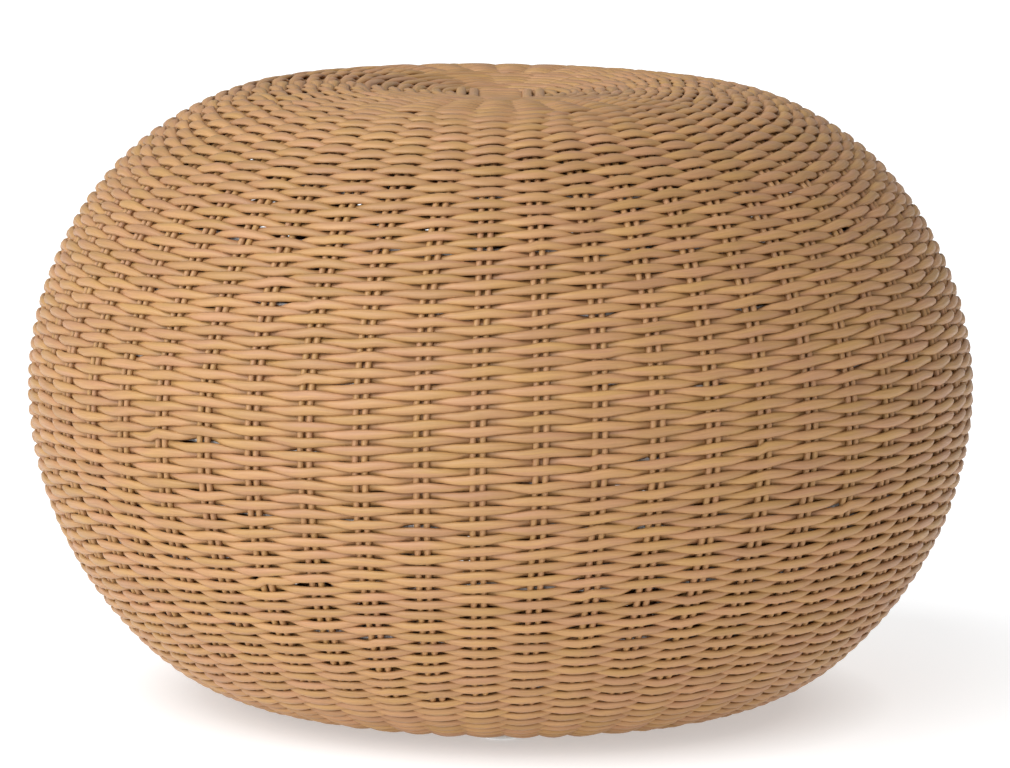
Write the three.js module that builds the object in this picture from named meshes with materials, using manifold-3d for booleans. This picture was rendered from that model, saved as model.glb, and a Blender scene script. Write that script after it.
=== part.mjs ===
// Round woven ottoman: an aluminium cage of hoops and ribs inside a closed skin of plastic wicker.
// Millimetres, +Z up, origin on the floor under the middle, front towards -Y.
// The skin is a stack of rounds as deep as the weave, with a ridge on each pair of upright rods.
import * as THREE from "three";
import { mergeVertices } from "three/addons/utils/BufferGeometryUtils.js";
import Module from "manifold-3d";

// Driving dimensions of the whole piece
const overallDiameter = 610;
const overallHeight = 400;
const widestHeight = 201;
const crownRimRadius = 120;
const crownDish = 8;
const baseFlatRadius = 160;

// The weave: round strands over stakes, which are pairs of upright rods. All of them stand in the
// sides, fewer cross the top and the base, and a few of those meet in the middle.
const strandDiameter = 6.2;
const stakeDiameter = 3.3;
const stakeCount = 52;
const crownStakeCount = 36;
const hubStakeCount = 9;
const stakeAngle = -0.04;
const baseHubRadius = 30;
// How far a strand swings in and out between two stakes, as a share of their spacing at most
const swingShare = 0.3;
// Where stakes are far apart, the strands stay in front for longer, and the skin falls back less
// between two stakes: by none of the last share at the crowded spacing, and all at the open one
const crowdedSpacing = 9;
const openSpacing = 37;
const fullnessShare = 0.6;

// The frame: round hoops against the weave's upright rods, flat ribs behind the hoops, and a plate
// and a ring that the ribs end at
const hoopDiameter = 6;
const hoopCount = 11;
const ribThickness = 4;
const ribWidth = 12;
const ribCount = 8;
const hubPlateRadius = 60;
const plateThickness = 3;
const ringWidth = 20;

// The four feet and their screws
const footCount = 4;
const footInset = 23;
const footRadius = 11;
const footProud = 4;
const footEdge = 1.2;
const stemRadius = 3;
const screwRadius = 1.6;
const screwHeadRadius = 3.4;
const screwHeadHeight = 2.4;
const screwBite = 7;

// Gaps between pieces that touch, and the overrun of a cutting tool
const seatGap = 0.3;
const screwClearance = 0.3;
const cutOverrun = 2;

// Facet counts. The skin has a ridge on each pair of upright rods, and a valley after it.
const curveStepCount = 15;
const hoopFacetCount = 24;
const hoopSideCount = 6;
const footFacetCount = 20;
const screwFacetCount = 12;

// The outline's points, chosen by hand. Inside the rim they are shares of its radius and of the
// dish's depth. Outside it, and above the base's flat, they are shares of the way out to the widest
// radius and of the rise above or the drop below the widest height.
const dishShares = [
  [0, 1],
  [0.542, 0.375],
  [1, 0],
];
const crownShares = [
  [0.3, 0.965],
  [0.599, 0.813],
  [0.809, 0.596],
  [0.957, 0.298],
  [1, 0],
];
const flankShares = [
  [0.924, 0.328],
  [0.724, 0.623],
  [0.466, 0.841],
  [0.285, 0.935],
  [0.117, 0.985],
  [0, 1],
];

// The rounds of the weave from the top to the base, with the outline's steps that each one takes. A
// full round is as deep as the whole weave. A hooped one is as deep as the outer strands and the
// rods, since its inner strands pass above and below the hoops.
const roundStepCounts = [
  ["weave_hub", 1, "full"],
  ["weave_crown", 2, "full"],
  ["weave_shoulder", 3, "hooped"],
  ["weave_side_upper", 2, "hooped"],
  ["weave_side_middle", 3, "hooped"],
  ["weave_side_lower", 2, "hooped"],
  ["weave_base_edge", 3, "hooped"],
  ["weave_base", 1, "full"],
  ["weave_base_hub", 1, "full"],
];
// The rounds that fewer stakes cross
const fewerStakeCounts = new Map([
  ["weave_hub", hubStakeCount],
  ["weave_crown", crownStakeCount],
  ["weave_base", crownStakeCount],
  ["weave_base_hub", hubStakeCount],
]);
const firstHoopIndex = 3;

// Sizes that follow
const widestRadius = overallDiameter / 2;
const crownRise = overallHeight - widestHeight;
const baseDrop = widestHeight - footProud;
const hoopedDepth = strandDiameter + stakeDiameter;
const fullDepth = hoopedDepth + strandDiameter;
const hoopDepth = hoopedDepth + seatGap;
const ribDepth = hoopDepth + hoopDiameter + seatGap;
const plateDepth = fullDepth + seatGap;
const footCircleRadius = baseFlatRadius - footInset;
const ringInnerRadius = footCircleRadius - ringWidth / 2;
const ringOuterRadius = footCircleRadius + ringWidth / 2;
const valleyAngle = Math.PI / stakeCount;
const fullSwing = hoopedDepth / 2;
// The middle of a facet lies this share of the radius from the axis, on the skin and on the hoops
const facetShare = Math.cos(valleyAngle / 2);
const hoopFacetShare = Math.cos(Math.PI / hoopFacetCount);
const footAngle = stakeAngle + valleyAngle;
const ribAngle = footAngle + Math.PI / ribCount;
const hoopAngle = ribAngle + Math.PI / hoopFacetCount;

const wasm = await Module();
wasm.setup();

function toSolid(geometry) {
  const bare = geometry.clone();
  bare.deleteAttribute("normal");
  bare.deleteAttribute("uv");
  const merged = mergeVertices(bare);
  const corners = merged.index.array;
  const faces = [];
  // A turned section that meets the axis gives triangles with no width there, which are left out
  for (let first = 0; first < corners.length; first += 3) {
    const [a, b, c] = [corners[first], corners[first + 1], corners[first + 2]];
    if (a !== b && b !== c && c !== a) {
      faces.push(a, b, c);
    }
  }
  return new wasm.Manifold(
    new wasm.Mesh({
      numProp: 3,
      vertProperties: new Float32Array(merged.attributes.position.array),
      triVerts: new Uint32Array(faces),
    }),
  );
}

function toGeometry(solid) {
  const mesh = solid.getMesh();
  const geometry = new THREE.BufferGeometry();
  geometry.setAttribute("position", new THREE.BufferAttribute(mesh.vertProperties, mesh.numProp));
  geometry.setIndex(new THREE.BufferAttribute(mesh.triVerts, 1));
  geometry.computeVertexNormals();
  return geometry;
}

// The outer face of the weave in the plane of radius and height: one smooth curve to the base's
// edge, then straight to the middle
const outline = new THREE.CatmullRomCurve3(
  [
    ...dishShares.map(([across, down]) => [across * crownRimRadius, crownRise - down * crownDish]),
    ...crownShares.map(([across, up]) => [between(crownRimRadius, widestRadius, across), up * crownRise]),
    ...flankShares.map(([across, down]) => [between(baseFlatRadius, widestRadius, across), -down * baseDrop]),
  ].map(([radius, rise]) => new THREE.Vector3(radius, widestHeight + rise, 0)),
  false,
  "centripetal",
);

function between(low, high, share) {
  return low + share * (high - low);
}

// The point at a share of the outline's curve, moved inwards by a depth
function curvePoint(share, depth) {
  const point = outline.getPointAt(share);
  const tangent = outline.getTangentAt(share);
  return new THREE.Vector2(point.x + tangent.y * depth, point.y - tangent.x * depth);
}

// The whole outline at one depth, as straight steps from the middle of the top to that of the base.
// The curve ends half a step after its last whole one, so that the hoops sit in the middle of steps.
function outlineAt(depth) {
  const points = [new THREE.Vector2(0, overallHeight - crownDish - depth)];
  for (let step = 1; step <= curveStepCount; step += 1) {
    points.push(curvePoint(step / (curveStepCount + 0.5), depth));
  }
  points.push(new THREE.Vector2(baseFlatRadius, footProud + depth));
  points.push(new THREE.Vector2(baseHubRadius, footProud + depth));
  points.push(new THREE.Vector2(0, footProud + depth));
  return points;
}

// The point that lies a length from one point towards another
function towards(from, to, length) {
  return from.clone().lerp(to, length / from.distanceTo(to));
}

// The part of the outline between two of its points, with half a gap left at each open end
function outlineBetween(first, last, depth) {
  const whole = outlineAt(depth);
  const run = whole.slice(first, last + 1);
  if (first > 0) {
    run[0] = towards(whole[first], whole[first + 1], seatGap / 2);
  }
  if (last < whole.length - 1) {
    run[run.length - 1] = towards(whole[last], whole[last - 1], seatGap / 2);
  }
  return run;
}

// The outline at a depth, kept from a radius on its way out to a radius on its way in
function outlineFromRadius(outRadius, inRadius, depth) {
  const whole = outlineAt(depth);
  const start = whole.findIndex((point) => point.x > outRadius);
  const end = whole.findLastIndex((point) => point.x > inRadius);
  return [
    atRadius(whole[start - 1], whole[start], outRadius),
    ...whole.slice(start, end + 1),
    atRadius(whole[end], whole[end + 1], inRadius),
  ];
}

// The point at a radius on the straight step between two points
function atRadius(from, to, radius) {
  return from.clone().lerp(to, (radius - from.x) / (to.x - from.x));
}

// A section turned about the upright axis, with its first vertex at an angle from the front. It is
// written from the top outwards and down, and turned in the other order so that faces point outwards.
function turned(section, facets, angle) {
  const geometry = new THREE.LatheGeometry([...section].reverse(), facets, angle, 2 * Math.PI);
  geometry.rotateX(Math.PI / 2);
  return toGeometry(toSolid(geometry));
}

// How far the skin falls back halfway between two of a round's stakes
function valleyDepth(radius, stakes) {
  const spacing = (2 * Math.PI * radius) / stakes;
  const swing = Math.min(fullSwing, swingShare * spacing);
  const openShare = (spacing - crowdedSpacing) / (openSpacing - crowdedSpacing);
  return swing * (1 - fullnessShare * Math.min(Math.max(openShare, 0), 1));
}

// A closed section carried round the axis, as the ridge's on each stake and as the valley's between
// two stakes. Both have as many points, written from the top outwards and down, then back inside.
function ridged(ridge, valley, stakes) {
  const columnCount = 2 * stakes;
  const pointCount = ridge.length;
  const vertices = [];
  const faces = [];
  for (let column = 0; column < columnCount; column += 1) {
    const angle = stakeAngle + (column * 2 * Math.PI) / columnCount;
    const nextColumn = (column + 1) % columnCount;
    const section = column % 2 === 0 ? ridge : valley;
    section.forEach((point, index) => {
      vertices.push(point.x * Math.sin(angle), -point.x * Math.cos(angle), point.y);
      const nextIndex = (index + 1) % pointCount;
      const corner = column * pointCount + index;
      const below = column * pointCount + nextIndex;
      const beside = nextColumn * pointCount + index;
      const across = nextColumn * pointCount + nextIndex;
      faces.push(corner, below, across, corner, across, beside);
    });
  }
  const geometry = new THREE.BufferGeometry();
  geometry.setAttribute("position", new THREE.Float32BufferAttribute(vertices, 3));
  geometry.setIndex(faces);
  return toGeometry(toSolid(geometry));
}

// A flat section in the plane of radius and height, given a width across it and turned to an angle
function upright(section, width, angle) {
  const geometry = new THREE.ExtrudeGeometry(new THREE.Shape(section), { depth: width, bevelEnabled: false });
  geometry.translate(0, 0, -width / 2);
  geometry.rotateX(Math.PI / 2);
  geometry.rotateZ(angle - Math.PI / 2);
  return toGeometry(toSolid(geometry));
}

// A turned piece that stands on the foot circle at one foot's place
function atFoot(geometry, index) {
  const angle = footAngle + (index * 2 * Math.PI) / footCount;
  const x = footCircleRadius * Math.sin(angle);
  const y = -footCircleRadius * Math.cos(angle);
  return geometry.clone().translate(x, y, 0);
}

function finish(colour, roughness, metalness) {
  return new THREE.MeshStandardMaterial({ color: colour, roughness, metalness });
}

const model = new THREE.Group();

function add(name, geometry, material) {
  const mesh = new THREE.Mesh(geometry, material);
  mesh.name = name;
  model.add(mesh);
}

// Straight holes through a piece at the four feet
function withFootHoles(geometry, radius, low, high) {
  const height = high - low + 2 * cutOverrun;
  const tool = new THREE.CylinderGeometry(radius, radius, height, footFacetCount);
  tool.rotateX(Math.PI / 2);
  tool.translate(0, 0, (low + high) / 2);
  let solid = toSolid(geometry);
  for (let index = 0; index < footCount; index += 1) {
    solid = solid.subtract(toSolid(atFoot(tool, index)));
  }
  return toGeometry(solid);
}

// Heights above the floor in the flat base
const weaveFloor = footProud;
const weaveTop = weaveFloor + fullDepth;
const ringFloor = weaveFloor + plateDepth;
const ringTop = ringFloor + plateThickness;

function addWeave() {
  let first = 0;
  for (const [name, stepCount, build] of roundStepCounts) {
    const last = first + stepCount;
    const stakes = fewerStakeCounts.get(name) ?? stakeCount;
    const ridge = outlineBetween(first, last, 0);
    const inner = outlineBetween(first, last, build === "full" ? fullDepth : hoopedDepth);
    const valley = ridge.map((point, index) => towards(point, inner[index], valleyDepth(point.x, stakes)));
    inner.reverse();
    let round = ridged([...ridge, ...inner], [...valley, ...inner], stakes);
    if (name === "weave_base") {
      round = withFootHoles(round, stemRadius + seatGap, weaveFloor, weaveTop);
    }
    add(name, round, finish(0xc99a68, 0.55, 0));
    first = last;
  }
}

function addFrame() {
  const metal = () => finish(0xd4d6d8, 0.4, 0.9);
  add("frame_hub_plate", turned(hubPlateSection(), hoopFacetCount, hoopAngle), metal());
  for (let number = 1; number <= hoopCount; number += 1) {
    const hoop = turned(hoopSection(firstHoopIndex + number - 1), hoopFacetCount, hoopAngle);
    add(`frame_hoop_${number}`, hoop, metal());
  }
  const ring = turned(ringSection(), hoopFacetCount, hoopAngle);
  add("frame_base_ring", withFootHoles(ring, screwRadius + screwClearance, ringFloor, ringTop), metal());
  for (let number = 1; number <= ribCount; number += 1) {
    const angle = ribAngle + ((number - 1) * 2 * Math.PI) / ribCount;
    add(`frame_rib_${number}`, upright(ribSection(), ribWidth, angle), metal());
  }
}

// The plate under the top follows the dish from the axis to its own radius
function hubPlateSection() {
  const faces = [plateDepth, plateDepth + plateThickness].map((depth) => {
    const whole = outlineAt(depth);
    const beyond = whole.findIndex((point) => point.x > hubPlateRadius);
    return [...whole.slice(0, beyond), atRadius(whole[beyond - 1], whole[beyond], hubPlateRadius)];
  });
  return [...faces[0], ...faces[1].reverse()];
}

// A round bar bent round the skin's inside, in the middle of one of the outline's steps, with a
// flat side of its section against the weave
function hoopSection(step) {
  const [from, to] = outlineAt(hoopDepth + hoopDiameter / 2).slice(step, step + 2);
  const centre = from.clone().lerp(to, 0.5);
  const heading = to.clone().sub(from).angle();
  const cornerRadius = hoopDiameter / 2 / Math.cos(Math.PI / hoopSideCount);
  const points = [];
  for (let corner = 0; corner < hoopSideCount; corner += 1) {
    const angle = heading - (corner * 2 * Math.PI) / hoopSideCount;
    const radius = centre.x + cornerRadius * Math.cos(angle);
    points.push(new THREE.Vector2(radius * facetShare, centre.y + cornerRadius * Math.sin(angle)));
  }
  points.push(points[0].clone());
  return points;
}

function ringSection() {
  return [
    new THREE.Vector2(ringInnerRadius, ringTop),
    new THREE.Vector2(ringOuterRadius, ringTop),
    new THREE.Vector2(ringOuterRadius, ringFloor),
    new THREE.Vector2(ringInnerRadius, ringFloor),
    new THREE.Vector2(ringInnerRadius, ringTop),
  ];
}

// The rib runs from the hub plate's edge, down behind the hoops, to the base ring's edge
function ribSection() {
  const ends = [hubPlateRadius + seatGap, ringOuterRadius + seatGap];
  const outer = outlineFromRadius(...ends, ribDepth);
  const inner = outlineFromRadius(...ends, ribDepth + ribThickness).reverse();
  return [...outer, ...inner].map(
    (point) => new THREE.Vector2(point.x * facetShare * hoopFacetShare, point.y),
  );
}

function addFeet() {
  const boreRadius = screwRadius + screwClearance;
  const boreFloor = weaveTop - screwBite - seatGap;
  const footSection = [
    new THREE.Vector2(0, boreFloor),
    new THREE.Vector2(boreRadius, boreFloor),
    new THREE.Vector2(boreRadius, weaveTop),
    new THREE.Vector2(stemRadius, weaveTop),
    new THREE.Vector2(stemRadius, weaveFloor - seatGap),
    new THREE.Vector2(footRadius, weaveFloor - seatGap),
    new THREE.Vector2(footRadius, footEdge),
    new THREE.Vector2(footRadius - footEdge, 0),
    new THREE.Vector2(0, 0),
  ];
  const headFloor = ringTop + seatGap;
  const screwSection = [
    new THREE.Vector2(0, headFloor + screwHeadHeight),
    new THREE.Vector2(screwHeadRadius / 2, headFloor + screwHeadHeight),
    new THREE.Vector2(screwHeadRadius, headFloor + screwHeadHeight / 2),
    new THREE.Vector2(screwHeadRadius, headFloor),
    new THREE.Vector2(screwRadius, headFloor),
    new THREE.Vector2(screwRadius, weaveTop - screwBite),
    new THREE.Vector2(0, weaveTop - screwBite),
  ];
  const foot = turned(footSection, footFacetCount, 0);
  const screw = turned(screwSection, screwFacetCount, 0);
  for (let index = 0; index < footCount; index += 1) {
    add(`glide_${index + 1}`, atFoot(foot, index), finish(0xe9e7e2, 0.35, 0));
    add(`glide_screw_${index + 1}`, atFoot(screw, index), finish(0xb9bcc0, 0.35, 0.9));
  }
}

addWeave();
addFrame();
addFeet();

export default model;
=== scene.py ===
import math

import bpy
import numpy as np
from mathutils import Matrix, Vector


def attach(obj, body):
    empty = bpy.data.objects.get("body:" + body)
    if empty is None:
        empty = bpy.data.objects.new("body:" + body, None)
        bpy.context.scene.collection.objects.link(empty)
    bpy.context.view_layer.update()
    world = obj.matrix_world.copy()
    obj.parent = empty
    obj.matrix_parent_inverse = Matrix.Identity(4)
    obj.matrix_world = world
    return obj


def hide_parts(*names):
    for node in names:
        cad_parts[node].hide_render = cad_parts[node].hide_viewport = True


bl_info = {
    "name": "Round Woven Ottoman",
    "version": (1, 0, 0),
    "blender": (4, 5, 0),
    "location": "3D View > Sidebar > Ottoman",
    "description": "Dresses a round ottoman frame with a woven skin of resin strands",
    "category": "Object",
}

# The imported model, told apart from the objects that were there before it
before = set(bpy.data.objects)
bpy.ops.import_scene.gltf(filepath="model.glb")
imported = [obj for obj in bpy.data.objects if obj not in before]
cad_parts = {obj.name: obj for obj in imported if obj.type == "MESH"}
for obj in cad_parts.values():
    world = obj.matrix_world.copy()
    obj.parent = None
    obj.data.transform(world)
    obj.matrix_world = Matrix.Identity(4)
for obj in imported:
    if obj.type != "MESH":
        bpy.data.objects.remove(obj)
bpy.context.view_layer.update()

MM = 0.001
TURN = 2 * math.pi

# Lengths below are in millimetres, unless they are called metres.

# The outline of the woven skin, as the solid rounds have it
WIDEST_RADIUS = 305.0
WIDEST_HEIGHT = 201.0
CROWN_RISE = 199.0
BASE_DROP = 197.0
RIM_RADIUS = 120.0
RIM_DISH = 8.0
BASE_RADIUS = 160.0
BASE_HEIGHT = 4.0
DISH_SHARES = ((0, 1), (0.542, 0.375), (1, 0))
CROWN_SHARES = ((0.3, 0.965), (0.599, 0.813), (0.809, 0.596), (0.957, 0.298), (1, 0))
FLANK_SHARES = (
    (0.924, 0.328),
    (0.724, 0.623),
    (0.466, 0.841),
    (0.285, 0.935),
    (0.117, 0.985),
    (0, 1),
)

# Points of the outline between two knots of its curve, and across the flat base
CURVE_POINTS = 60
FLAT_POINTS = 60

# Where the solid rounds end, in steps along the outline, and the piece that stands for each
OUTLINE_STEPS = 15.5
ROUNDS = (
    ("hub_strands", "weave_hub", 1),
    ("crown_strands", "weave_crown", 3),
    ("shoulder_strands", "weave_shoulder", 6),
    ("side_upper_strands", "weave_side_upper", 8),
    ("side_middle_strands", "weave_side_middle", 11),
    ("side_lower_strands", "weave_side_lower", 13),
    ("base_edge_strands", "weave_base_edge", OUTLINE_STEPS),
)
BASE_HUB_RADIUS = 30.0

# Stakes are pairs of upright rods. Some start further out than others, at these distances from the
# middle of the top or of the base.
STAKES = 52
STAKE_ANGLE = -0.04
HUB_REACH = 50.0
HUB_STAKES = 9
CROWN_REACH = 88.0
CROWN_STAKES = 18
RIM_REACH = 152.0
RIM_STAKES = 36
SPREAD_LENGTH = 40.0

# Where stakes crowd, a stake's rods lie a share of the stakes' spacing from its middle, less some
# room. They start a little before the first row that crosses them, and the longest near the axis.
PAIR_SHARE = 0.21
PAIR_ROOM = 0.9
ROD_LEAD = 6.0
HUB_ROD_LEAD = 5.0
MIDDLE_ROD_START = 11.5

# The frame behind the rods
HOOP_COUNT = 11
FIRST_HOOP_STEP = 3.5
HOOP_DEPTH = 11.0
HOOP_RADIUS = 3.6
HOOP_CLEARANCE = 3.2

# Places along the outline between which the pitch of the rows is one of the settings' four in turn
PITCH_PLACES = (0.0, 60.0, 160.0, 230.0, 295.0, 425.0, 450.0, 850.0)

# The closed rows start past the hub, where a spiral winds inwards from them. On the top it ends at
# the square start, and on the base near the axis.
FIRST_RING = 51.0
START_OVERLAP = 2.0
BASE_SPIRAL_START = 2.6

# The strands swing in and out by a share of the stakes' spacing less some room, up to the full
# swing. That is less than the rods call for on the crown, more round the rim, and just that beyond.
SWING_SHARE = 0.32
SWING_ROOM = 2.0
CROWN_SWING = 0.62
RIM_SWING = 1.15
RIM_PLACE = 124.0
RIM_WIDTH = 20.0
CROWN_END = (160.0, 200.0)

# How far the rods are pressed into the strands that cross them, and how much deeper they lie on
# the crown, which fades between these places. The strands are thicker to each side behind the rods,
# where nothing presses them flat.
ROD_PRESS = 1.2
ROD_SINK = 1.6
SINK_END = (215.0, 255.0)
REAR_SWELL = 0.9

# Heights of the strands between the stakes and behind them, as shares of two rows' pitch, and the
# distances from the middle over which they slacken from the close weave of the crown
CROSSING_SHARE = 0.55
REAR_SHARE = 0.94
SLACK_RISE = (222.0, 275.0)

# Spacings of the stakes between which the strands come to stay in front for longer
FULL_RISE = (20.0, 36.0)

# The square start of the weave in the middle of the top: bars on either side that run towards the
# back, and passes across between them. A rise is the height of their ends and of their middle over
# the skin, and the power keeps them flat until near the ends.
START_MIDDLE = -2.5
START_HALF = 29.0
START_HALF_WIDTH = 3.3
START_DIP_POWER = 6
BAR_PLACES = (-25.3, -17.2, 17.2, 25.3)
PASS_PLACES = np.arange(-26.0, 27.0, 6.5)
PASS_HALF = 15.0
BAR_RISE = (-4.5, -1.3)
PASS_RISE = (-4.5, -1.7)

# The feet: their stems, and how the base's rows part round them and close again
FOOT_COUNT = 4
FOOT_CIRCLE = 137.0
STEM_RADIUS = 3.0
STEM_ROOM = 3.5
PARTING_WIDTH = 8.0
PARTING_FADE = 15.0

# What a hand leaves: slow waves of all rows together and their lean, which grow between two
# distances from the middle, and on each stake a strand that sits high or low, turned, or slack. The
# rows lie calmer on the crown, and where they pass behind a stake. The rods lie off their places.
WAVE_COUNT = 16
WAVE_TURNS = (2, 12)
WAVE_LENGTHS = (90, 260)
WAVE_SIZES = (0.3, 1.0)
WAVE_RISE = (55.0, 155.0)
LEAN_RISE = (35.0, 155.0)
OFFSET_SPREAD = 0.6
OFFSET_LIMIT = 1.3
REAR_OFFSET_SHARE = 0.3
CROWN_OFFSET_SHARE = 0.35
CALM_END = (190.0, 270.0)
TILT_MEAN = 0.25
TILT_SPREAD = 0.2
SLACKNESS = (-0.03, 0.06)
START_UNEVENNESS = 0.4
ROD_SPREAD = 0.5
ROD_WAVE = 0.5
ROD_WAVE_LENGTH = 260.0

# How dark or pale a strand is, from 0 to 1, and where along the grain it is cut, in metres
HUB_TONE = 0.6
BASE_TONE = 0.5
START_TONES = (0.6, 1.0)
ROD_TONES = (0.45, 0.95)
ROW_GRAIN_STEP = 2.3
ROD_GRAIN_STEP = 1.7
BASE_HUB_GRAIN = 901.0
HUB_GRAIN = 905.0
BASE_GRAIN = 907.0
START_GRAIN = 920.0

# How finely the pieces are made
STRAND_SIDES = 8
ROD_SIDES = 6
ROD_POINTS = 150
ROD_SMOOTHING = 9
START_POINTS = 29
HOOP_FACETS = 2 * STAKES
HOOP_SIDES = 12

# Most of a noise texture's values lie between these
NOISE_SPAN = (0.3, 0.7)

# The stage, in metres: the floor, the distances from its middle between which its own glow rises out
# of the painted contact shadow under the body, where the key light comes from, the height that the
# camera aims at, and how far it sees
FLOOR_RADIUS = 40.0
FLOOR_CORNERS = 96
PAINTED_SHADOW_FADE = (0.19, 0.26)
KEY_PLACE = (-2.15, -2.1, 1.6)
KEY_COLOUR = (0.97, 1.0, 1.03)
SKY_COLOUR = (0.985, 1.0, 1.015, 1.0)
AIM_HEIGHT = 0.198
SIGHT = 200.0

# The camera's sensor and lens, and the photograph's shift from its middle
SENSOR_WIDTH = 36.0
LENS = 232.2
CAMERA_SHIFT = (0.0046, 0.0097)


def between(low, high, share):
    return low + share * (high - low)


def part_way(value, low, high):
    """How far a value has come from low to high, from 0 to 1."""
    return np.clip((value - low) / (high - low), 0, 1)


def ease(share):
    """A share from 0 to 1, with a gentle start and end."""
    return share * share * (3 - 2 * share)


def outline_knots():
    """The given points of the outline, as radius and height."""
    knots = [(across * RIM_RADIUS, CROWN_RISE - down * RIM_DISH) for across, down in DISH_SHARES]
    knots += [(between(RIM_RADIUS, WIDEST_RADIUS, a), up * CROWN_RISE) for a, up in CROWN_SHARES]
    knots += [(between(BASE_RADIUS, WIDEST_RADIUS, a), -d * BASE_DROP) for a, d in FLANK_SHARES]
    return np.array([(radius, WIDEST_HEIGHT + rise) for radius, rise in knots])


def smooth_curve(knots):
    """A centripetal curve through the knots, as close points."""
    before = 2 * knots[0] - knots[1]
    after = 2 * knots[-1] - knots[-2]
    ends = np.vstack([before, knots, after])
    points = []
    for i in range(len(knots) - 1):
        p0, p1, p2, p3 = ends[i : i + 4]
        d0, d1, d2 = (np.linalg.norm(b - a) ** 0.5 for a, b in ((p0, p1), (p1, p2), (p2, p3)))
        m1 = ((p1 - p0) / d0 - (p2 - p0) / (d0 + d1) + (p2 - p1) / d1) * d1
        m2 = ((p2 - p1) / d1 - (p3 - p1) / (d1 + d2) + (p3 - p2) / d2) * d1
        t = np.linspace(0, 1, CURVE_POINTS, endpoint=False)[:, None]
        bend = -3 * p1 + 3 * p2 - 2 * m1 - m2
        twist = 2 * p1 - 2 * p2 + m1 + m2
        points.append(p1 + m1 * t + bend * t**2 + twist * t**3)
    return np.vstack(points + [knots[-1:]])


class Outline:
    """Place and outward direction of the skin at a length along it from the middle of the top."""

    def __init__(self):
        curve = smooth_curve(outline_knots())
        self.curve_length = float(np.linalg.norm(np.diff(curve, axis=0), axis=1).sum())
        across = np.linspace(BASE_RADIUS, 0, FLAT_POINTS)[1:]
        flat = np.column_stack([across, np.full(len(across), BASE_HEIGHT)])
        self.points = np.vstack([curve, flat])
        steps = np.linalg.norm(np.diff(self.points, axis=0), axis=1)
        self.along = np.concatenate([[0], np.cumsum(steps)])
        self.length = float(self.along[-1])
        self.tangents = np.gradient(self.points, self.along, axis=0)
        self.tangents /= np.linalg.norm(self.tangents, axis=1)[:, None]

    def place(self, along, depth):
        """Radius and height at lengths along the outline and depths below it."""
        radius = np.interp(along, self.along, self.points[:, 0])
        height = np.interp(along, self.along, self.points[:, 1])
        across, up = self.outward(along)
        return radius - across * depth, height - up * depth

    def outward(self, along):
        """The skin's outward direction, across and up."""
        tangent_r = np.interp(along, self.along, self.tangents[:, 0])
        tangent_z = np.interp(along, self.along, self.tangents[:, 1])
        size = np.hypot(tangent_r, tangent_z)
        return -tangent_z / size, tangent_r / size

    def radius(self, along):
        return np.interp(along, self.along, self.points[:, 0])

    def reach(self, along):
        """Distance from the middle of the top or of the base, whichever is nearer."""
        return np.minimum(along, self.length - along)

    def solid(self, along, depth, angle):
        """Points in space, and the skin's outward direction there."""
        radius, height = self.place(along, depth)
        across, up = self.outward(along)
        sin, cos = np.sin(angle), np.cos(angle)
        points = np.column_stack([radius * sin, -radius * cos, height])
        outward = np.column_stack([across * sin, -across * cos, up])
        return points, outward


OUTLINE = Outline()
STEP = OUTLINE.curve_length / OUTLINE_STEPS
HOOP_PLACES = [STEP * (FIRST_HOOP_STEP + number) for number in range(HOOP_COUNT)]

# Which of the stakes reach in past the rim, and the place of every stake among those
RIM_PLACES = np.interp(
    np.arange(STAKES + 1),
    [round(number * STAKES / RIM_STAKES) for number in range(RIM_STAKES + 1)],
    np.arange(RIM_STAKES + 1),
)


def stake_counts(along):
    """How many stakes stand at each place along the outline."""
    reach = OUTLINE.reach(along)
    inner = np.where(reach < HUB_REACH, HUB_STAKES, CROWN_STAKES)
    outer = np.where(reach < RIM_REACH, RIM_STAKES, STAKES)
    return np.where(reach < CROWN_REACH, inner, outer)


def stake_angle(index, along):
    """Angle of one of the full count of stakes: they spread evenly once past the rim."""
    share = ease(part_way(OUTLINE.reach(along), RIM_REACH, RIM_REACH + SPREAD_LENGTH))
    even = TURN * index / STAKES
    inner = TURN * np.interp(index, np.arange(STAKES + 1), RIM_PLACES) / RIM_STAKES
    return STAKE_ANGLE + between(inner, even, share)


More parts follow.
